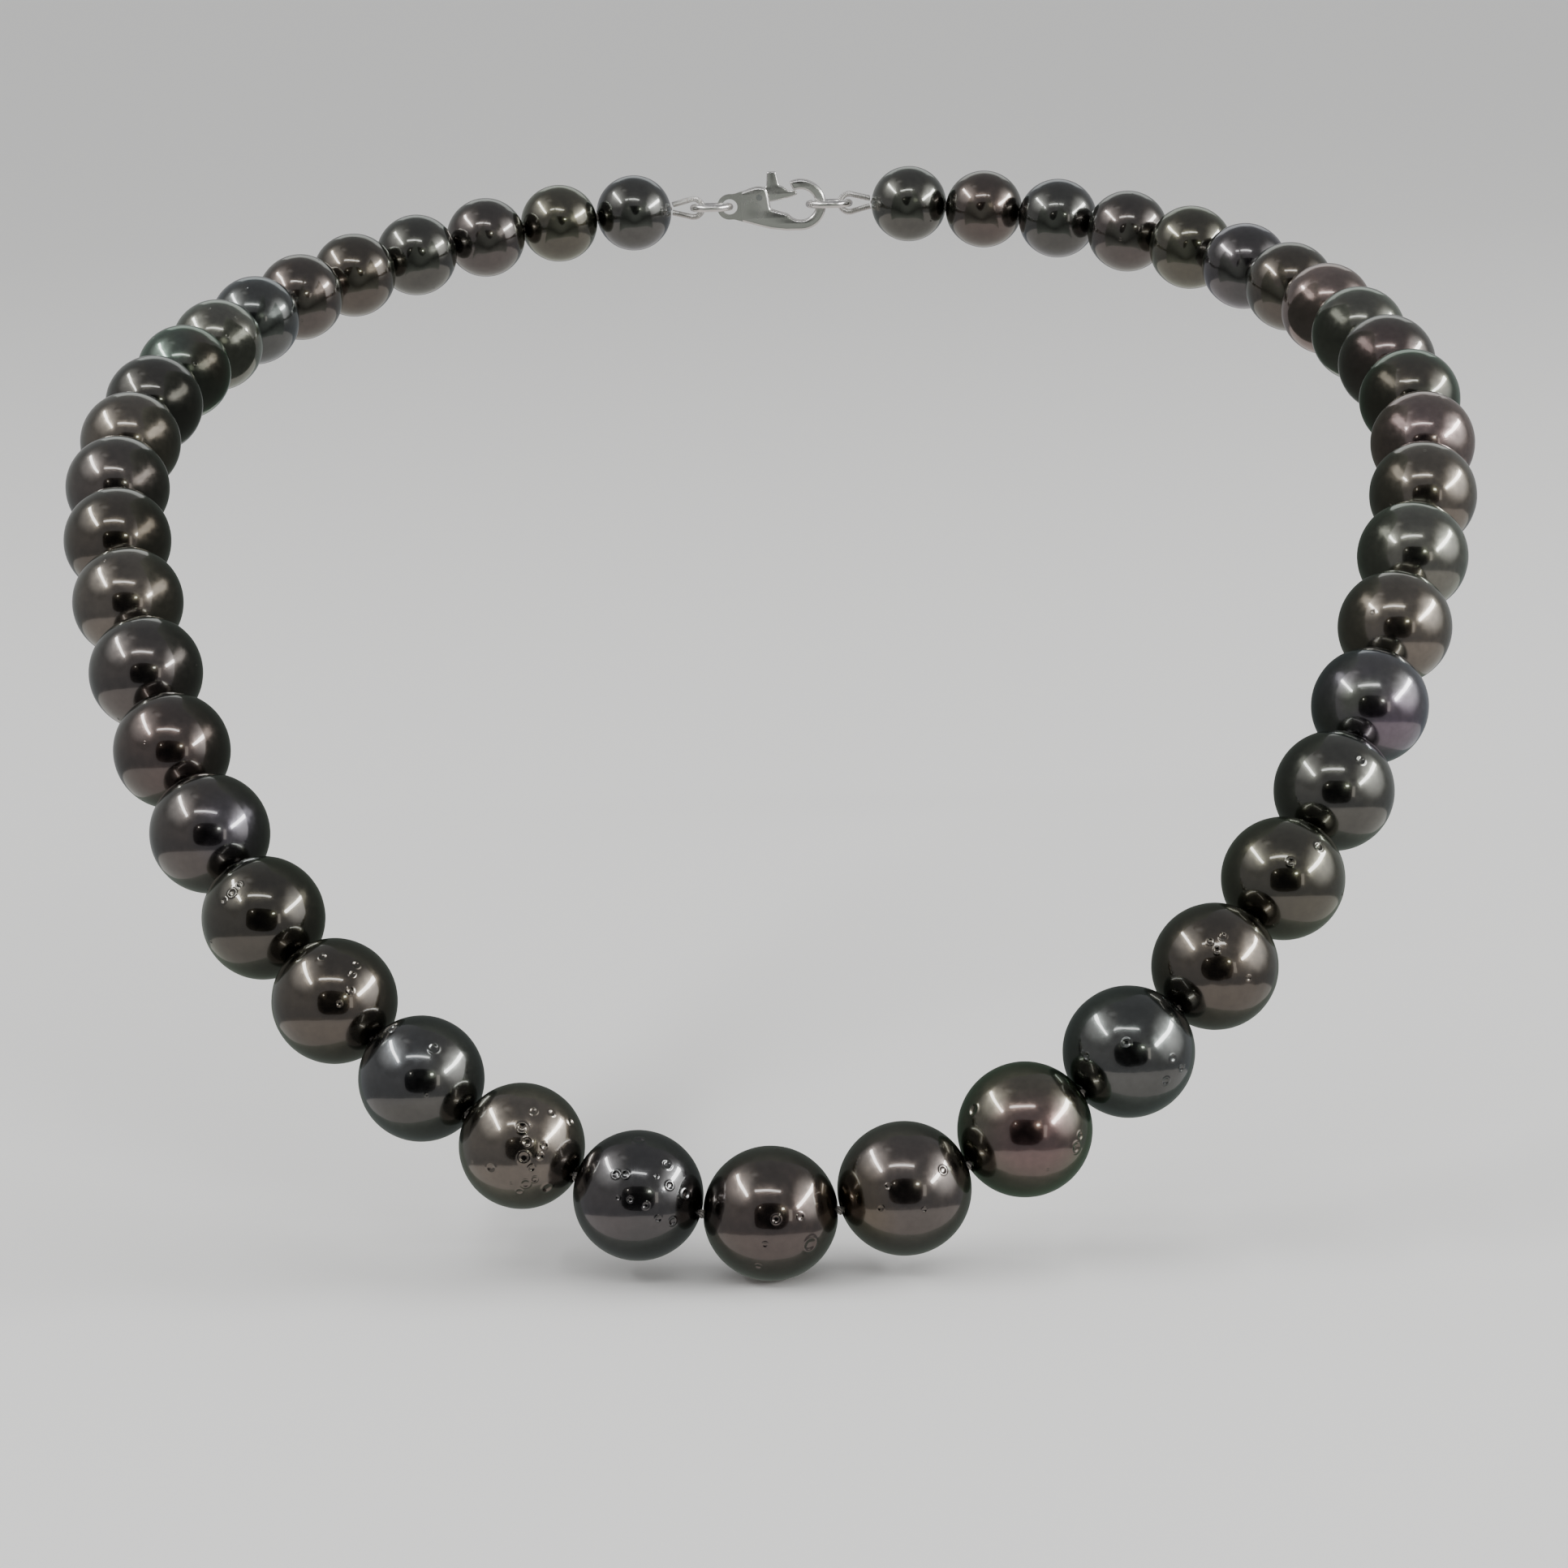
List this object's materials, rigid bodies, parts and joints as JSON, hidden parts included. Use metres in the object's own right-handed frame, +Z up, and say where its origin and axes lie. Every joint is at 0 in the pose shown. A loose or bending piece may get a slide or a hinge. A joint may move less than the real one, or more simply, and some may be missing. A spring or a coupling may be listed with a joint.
{
  "type": "pearl necklace",
  "caption": "Graduated strand of dark nacre pearls knotted on silk, in its worn loop shape, closed at the nape by a silver trigger clasp.",
  "frame": {"origin": "on the wearer's neck axis, level with the pearls at the two sides of the neck", "axes": "+Z up along the neck, front of the neck towards -Y, clasp at the nape towards +Y, wearer's left towards +X"},
  "size_m": [0.1341, 0.1558, 0.0843],
  "materials": {
    "nacre": "gloss",
    "silk": "matte",
    "french_wire": "satin",
    "silver": "gloss",
    "steel": "satin"
  },
  "bodies": {
    "pearl_left_22": {"pearl_left_22": "nacre", "gimp_left": "french_wire"},
    "pearl_left_21": {"pearl_left_21": "nacre"},
    "pearl_left_20": {"pearl_left_20": "nacre"},
    "pearl_left_19": {"pearl_left_19": "nacre"},
    "pearl_left_18": {"pearl_left_18": "nacre"},
    "pearl_left_17": {"pearl_left_17": "nacre"},
    "pearl_left_16": {"pearl_left_16": "nacre"},
    "pearl_left_15": {"pearl_left_15": "nacre"},
    "pearl_left_14": {"pearl_left_14": "nacre"},
    "pearl_left_13": {"pearl_left_13": "nacre"},
    "pearl_left_12": {"pearl_left_12": "nacre"},
    "pearl_left_11": {"pearl_left_11": "nacre"},
    "pearl_left_10": {"pearl_left_10": "nacre"},
    "pearl_left_09": {"pearl_left_09": "nacre"},
    "pearl_left_08": {"pearl_left_08": "nacre"},
    "pearl_left_07": {"pearl_left_07": "nacre"},
    "pearl_left_06": {"pearl_left_06": "nacre"},
    "pearl_left_05": {"pearl_left_05": "nacre"},
    "pearl_left_04": {"pearl_left_04": "nacre"},
    "pearl_left_03": {"pearl_left_03": "nacre"},
    "pearl_left_02": {"pearl_left_02": "nacre"},
    "pearl_left_01": {"pearl_left_01": "nacre"},
    "pearl_front": {"pearl_front": "nacre", "silk_thread": "silk"},
    "pearl_right_01": {"pearl_right_01": "nacre"},
    "pearl_right_02": {"pearl_right_02": "nacre"},
    "pearl_right_03": {"pearl_right_03": "nacre"},
    "pearl_right_04": {"pearl_right_04": "nacre"},
    "pearl_right_05": {"pearl_right_05": "nacre"},
    "pearl_right_06": {"pearl_right_06": "nacre"},
    "pearl_right_07": {"pearl_right_07": "nacre"},
    "pearl_right_08": {"pearl_right_08": "nacre"},
    "pearl_right_09": {"pearl_right_09": "nacre"},
    "pearl_right_10": {"pearl_right_10": "nacre"},
    "pearl_right_11": {"pearl_right_11": "nacre"},
    "pearl_right_12": {"pearl_right_12": "nacre"},
    "pearl_right_13": {"pearl_right_13": "nacre"},
    "pearl_right_14": {"pearl_right_14": "nacre"},
    "pearl_right_15": {"pearl_right_15": "nacre"},
    "pearl_right_16": {"pearl_right_16": "nacre"},
    "pearl_right_17": {"pearl_right_17": "nacre"},
    "pearl_right_18": {"pearl_right_18": "nacre"},
    "pearl_right_19": {"pearl_right_19": "nacre"},
    "pearl_right_20": {"pearl_right_20": "nacre"},
    "pearl_right_21": {"pearl_right_21": "nacre"},
    "pearl_right_22": {"pearl_right_22": "nacre"},
    "jump_ring": {"jump_ring": "silver"},
    "claw": {"claw_body": "silver", "trigger_pin": "steel", "trigger_spring": "steel"},
    "trigger": {"trigger_lever": "silver"},
    "tail_ring": {"tail_ring": "silver"},
    "gimp_right": {"gimp_right": "french_wire"}
  },
  "joints": [
    {"name": "knot_left_01", "type": "hinge", "parent": "pearl_front", "child": "pearl_left_01", "pos_m": [-0.00575, -0.06492, -0.05319], "axis": [0, 0, 1], "range_deg": [0, 15], "deforming": ["silk_thread"]},
    {"name": "knot_left_02", "type": "hinge", "parent": "pearl_left_01", "child": "pearl_left_02", "pos_m": [-0.01631, -0.06275, -0.0503], "axis": [0, 0, 1], "range_deg": [0, 15], "deforming": ["silk_thread"]},
    {"name": "knot_left_03", "type": "hinge", "parent": "pearl_left_02", "child": "pearl_left_03", "pos_m": [-0.02544, -0.05921, -0.04571], "axis": [0, 0, 1], "range_deg": [0, 15], "deforming": ["silk_thread"]},
    {"name": "knot_left_04", "type": "hinge", "parent": "pearl_left_03", "child": "pearl_left_04", "pos_m": [-0.0336, -0.05463, -0.04016], "axis": [0, 0, 1], "range_deg": [0, 15], "deforming": ["silk_thread"]},
    {"name": "knot_left_05", "type": "hinge", "parent": "pearl_left_04", "child": "pearl_left_05", "pos_m": [-0.04077, -0.04902, -0.03407], "axis": [0, 0, 1], "range_deg": [0, 15], "deforming": ["silk_thread"]},
    {"name": "knot_left_06", "type": "hinge", "parent": "pearl_left_05", "child": "pearl_left_06", "pos_m": [-0.04669, -0.04245, -0.02776], "axis": [0, 0, 1], "range_deg": [0, 15], "deforming": ["silk_thread"]},
    {"name": "knot_left_07", "type": "hinge", "parent": "pearl_left_06", "child": "pearl_left_07", "pos_m": [-0.05134, -0.03511, -0.02145], "axis": [0, 0, 1], "range_deg": [0, 15], "deforming": ["silk_thread"]},
    {"name": "knot_left_08", "type": "hinge", "parent": "pearl_left_07", "child": "pearl_left_08", "pos_m": [-0.05492, -0.02721, -0.01537], "axis": [0, 0, 1], "range_deg": [0, 15], "deforming": ["silk_thread"]},
    {"name": "knot_left_09", "type": "hinge", "parent": "pearl_left_08", "child": "pearl_left_09", "pos_m": [-0.0578, -0.0189, -0.00972], "axis": [0, 0, 1], "range_deg": [0, 15], "deforming": ["silk_thread"]},
    {"name": "knot_left_10", "type": "hinge", "parent": "pearl_left_09", "child": "pearl_left_10", "pos_m": [-0.06019, -0.0102, -0.0047], "axis": [0, 0, 1], "range_deg": [0, 15], "deforming": ["silk_thread"]},
    {"name": "knot_left_11", "type": "hinge", "parent": "pearl_left_10", "child": "pearl_left_11", "pos_m": [-0.06188, -0.00113, -0.0004], "axis": [0, 0, 1], "range_deg": [0, 15], "deforming": ["silk_thread"]},
    {"name": "knot_left_12", "type": "hinge", "parent": "pearl_left_11", "child": "pearl_left_12", "pos_m": [-0.06248, 0.00821, 0.00326], "axis": [0, 0, 1], "range_deg": [0, 15], "deforming": ["silk_thread"]},
    {"name": "knot_left_13", "type": "hinge", "parent": "pearl_left_12", "child": "pearl_left_13", "pos_m": [-0.06186, 0.0176, 0.00631], "axis": [0, 0, 1], "range_deg": [0, 15], "deforming": ["silk_thread"]},
    {"name": "knot_left_14", "type": "hinge", "parent": "pearl_left_13", "child": "pearl_left_14", "pos_m": [-0.06034, 0.0269, 0.00879], "axis": [0, 0, 1], "range_deg": [0, 15], "deforming": ["silk_thread"]},
    {"name": "knot_left_15", "type": "hinge", "parent": "pearl_left_14", "child": "pearl_left_15", "pos_m": [-0.0583, 0.03605, 0.01081], "axis": [0, 0, 1], "range_deg": [0, 15], "deforming": ["silk_thread"]},
    {"name": "knot_left_16", "type": "hinge", "parent": "pearl_left_15", "child": "pearl_left_16", "pos_m": [-0.05576, 0.04498, 0.01258], "axis": [0, 0, 1], "range_deg": [0, 15], "deforming": ["silk_thread"]},
    {"name": "knot_left_17", "type": "hinge", "parent": "pearl_left_16", "child": "pearl_left_17", "pos_m": [-0.05245, 0.0535, 0.01426], "axis": [0, 0, 1], "range_deg": [0, 15], "deforming": ["silk_thread"]},
    {"name": "knot_left_18", "type": "hinge", "parent": "pearl_left_17", "child": "pearl_left_18", "pos_m": [-0.04807, 0.06137, 0.01591], "axis": [0, 0, 1], "range_deg": [0, 15], "deforming": ["silk_thread"]},
    {"name": "knot_left_19", "type": "hinge", "parent": "pearl_left_18", "child": "pearl_left_19", "pos_m": [-0.04246, 0.06823, 0.01752], "axis": [0, 0, 1], "range_deg": [0, 15], "deforming": ["silk_thread"]},
    {"name": "knot_left_20", "type": "hinge", "parent": "pearl_left_19", "child": "pearl_left_20", "pos_m": [-0.0357, 0.07377, 0.019], "axis": [0, 0, 1], "range_deg": [0, 15], "deforming": ["silk_thread"]},
    {"name": "knot_left_21", "type": "hinge", "parent": "pearl_left_20", "child": "pearl_left_21", "pos_m": [-0.0281, 0.0778, 0.02025], "axis": [0, 0, 1], "range_deg": [0, 15], "deforming": ["silk_thread"]},
    {"name": "knot_left_22", "type": "hinge", "parent": "pearl_left_21", "child": "pearl_left_22", "pos_m": [-0.02004, 0.08045, 0.02119], "axis": [0, 0, 1], "range_deg": [0, 15], "deforming": ["silk_thread"]},
    {"name": "knot_right_01", "type": "hinge", "parent": "pearl_front", "child": "pearl_right_01", "pos_m": [0.00575, -0.06492, -0.05319], "axis": [0, 0, -1], "range_deg": [0, 15], "deforming": ["silk_thread"]},
    {"name": "knot_right_02", "type": "hinge", "parent": "pearl_right_01", "child": "pearl_right_02", "pos_m": [0.01658, -0.06268, -0.0502], "axis": [0, 0, -1], "range_deg": [0, 15], "deforming": ["silk_thread"]},
    {"name": "knot_right_03", "type": "hinge", "parent": "pearl_right_02", "child": "pearl_right_03", "pos_m": [0.02629, -0.05882, -0.04522], "axis": [0, 0, -1], "range_deg": [0, 15], "deforming": ["silk_thread"]},
    {"name": "knot_right_04", "type": "hinge", "parent": "pearl_right_03", "child": "pearl_right_04", "pos_m": [0.03469, -0.05391, -0.03933], "axis": [0, 0, -1], "range_deg": [0, 15], "deforming": ["silk_thread"]},
    {"name": "knot_right_05", "type": "hinge", "parent": "pearl_right_04", "child": "pearl_right_05", "pos_m": [0.04173, -0.04811, -0.03314], "axis": [0, 0, -1], "range_deg": [0, 15], "deforming": ["silk_thread"]},
    {"name": "knot_right_06", "type": "hinge", "parent": "pearl_right_05", "child": "pearl_right_06", "pos_m": [0.04747, -0.0414, -0.0268], "axis": [0, 0, -1], "range_deg": [0, 15], "deforming": ["silk_thread"]},
    {"name": "knot_right_07", "type": "hinge", "parent": "pearl_right_06", "child": "pearl_right_07", "pos_m": [0.05195, -0.03394, -0.02051], "axis": [0, 0, -1], "range_deg": [0, 15], "deforming": ["silk_thread"]},
    {"name": "knot_right_08", "type": "hinge", "parent": "pearl_right_07", "child": "pearl_right_08", "pos_m": [0.0554, -0.02596, -0.01446], "axis": [0, 0, -1], "range_deg": [0, 15], "deforming": ["silk_thread"]},
    {"name": "knot_right_09", "type": "hinge", "parent": "pearl_right_08", "child": "pearl_right_09", "pos_m": [0.05821, -0.01757, -0.00889], "axis": [0, 0, -1], "range_deg": [0, 15], "deforming": ["silk_thread"]},
    {"name": "knot_right_10", "type": "hinge", "parent": "pearl_right_09", "child": "pearl_right_10", "pos_m": [0.06051, -0.00879, -0.00397], "axis": [0, 0, -1], "range_deg": [0, 15], "deforming": ["silk_thread"]},
    {"name": "knot_right_11", "type": "hinge", "parent": "pearl_right_10", "child": "pearl_right_11", "pos_m": [0.06206, 0.00036, 0.00023], "axis": [0, 0, -1], "range_deg": [0, 15], "deforming": ["silk_thread"]},
    {"name": "knot_right_12", "type": "hinge", "parent": "pearl_right_11", "child": "pearl_right_12", "pos_m": [0.06245, 0.00974, 0.00379], "axis": [0, 0, -1], "range_deg": [0, 15], "deforming": ["silk_thread"]},
    {"name": "knot_right_13", "type": "hinge", "parent": "pearl_right_12", "child": "pearl_right_13", "pos_m": [0.06166, 0.01914, 0.00675], "axis": [0, 0, -1], "range_deg": [0, 15], "deforming": ["silk_thread"]},
    {"name": "knot_right_14", "type": "hinge", "parent": "pearl_right_13", "child": "pearl_right_14", "pos_m": [0.06003, 0.02845, 0.00915], "axis": [0, 0, -1], "range_deg": [0, 15], "deforming": ["silk_thread"]},
    {"name": "knot_right_15", "type": "hinge", "parent": "pearl_right_14", "child": "pearl_right_15", "pos_m": [0.05791, 0.03759, 0.01113], "axis": [0, 0, -1], "range_deg": [0, 15], "deforming": ["silk_thread"]},
    {"name": "knot_right_16", "type": "hinge", "parent": "pearl_right_15", "child": "pearl_right_16", "pos_m": [0.05525, 0.04649, 0.01287], "axis": [0, 0, -1], "range_deg": [0, 15], "deforming": ["silk_thread"]},
    {"name": "knot_right_17", "type": "hinge", "parent": "pearl_right_16", "child": "pearl_right_17", "pos_m": [0.05176, 0.05495, 0.01455], "axis": [0, 0, -1], "range_deg": [0, 15], "deforming": ["silk_thread"]},
    {"name": "knot_right_18", "type": "hinge", "parent": "pearl_right_17", "child": "pearl_right_18", "pos_m": [0.04716, 0.06268, 0.01621], "axis": [0, 0, -1], "range_deg": [0, 15], "deforming": ["silk_thread"]},
    {"name": "knot_right_19", "type": "hinge", "parent": "pearl_right_18", "child": "pearl_right_19", "pos_m": [0.04131, 0.06935, 0.01781], "axis": [0, 0, -1], "range_deg": [0, 15], "deforming": ["silk_thread"]},
    {"name": "knot_right_20", "type": "hinge", "parent": "pearl_right_19", "child": "pearl_right_20", "pos_m": [0.03435, 0.07463, 0.01925], "axis": [0, 0, -1], "range_deg": [0, 15], "deforming": ["silk_thread"]},
    {"name": "knot_right_21", "type": "hinge", "parent": "pearl_right_20", "child": "pearl_right_21", "pos_m": [0.0266, 0.0784, 0.02045], "axis": [0, 0, -1], "range_deg": [0, 15], "deforming": ["silk_thread"]},
    {"name": "knot_right_22", "type": "hinge", "parent": "pearl_right_21", "child": "pearl_right_22", "pos_m": [0.01846, 0.08082, 0.02134], "axis": [0, 0, -1], "range_deg": [0, 15], "deforming": ["silk_thread"]},
    {"name": "jump_ring_swing", "type": "hinge", "parent": "pearl_left_22", "child": "jump_ring", "pos_m": [-0.00938, 0.08184, 0.02181], "axis": [-0.0082, 1, 0], "range_deg": [-40, 40]},
    {"name": "claw_flip", "type": "hinge", "parent": "jump_ring", "child": "claw", "pos_m": [-0.00538, 0.08187, 0.02182], "axis": [-0.0082, 1, 0], "range_deg": [-45, 45]},
    {"name": "trigger_pivot", "type": "hinge", "parent": "claw", "child": "trigger", "pos_m": [-0.00208, 0.0819, 0.02278], "axis": [-0.0082, 1, 0], "range_deg": [0, 20], "stiffness_Nm_per_rad": 0.004, "springref_deg": -11.46, "deforming": ["trigger_spring"]},
    {"name": "tail_ring_swing", "type": "hinge", "parent": "claw", "child": "tail_ring", "pos_m": [0.00242, 0.08193, 0.02185], "axis": [-0.0082, 1, 0], "range_deg": [-35, 35]},
    {"name": "gimp_right_swing", "type": "hinge", "parent": "tail_ring", "child": "gimp_right", "pos_m": [0.00777, 0.08198, 0.02187], "axis": [-0.0082, 1, 0], "range_deg": [-45, 45]}
  ]
}
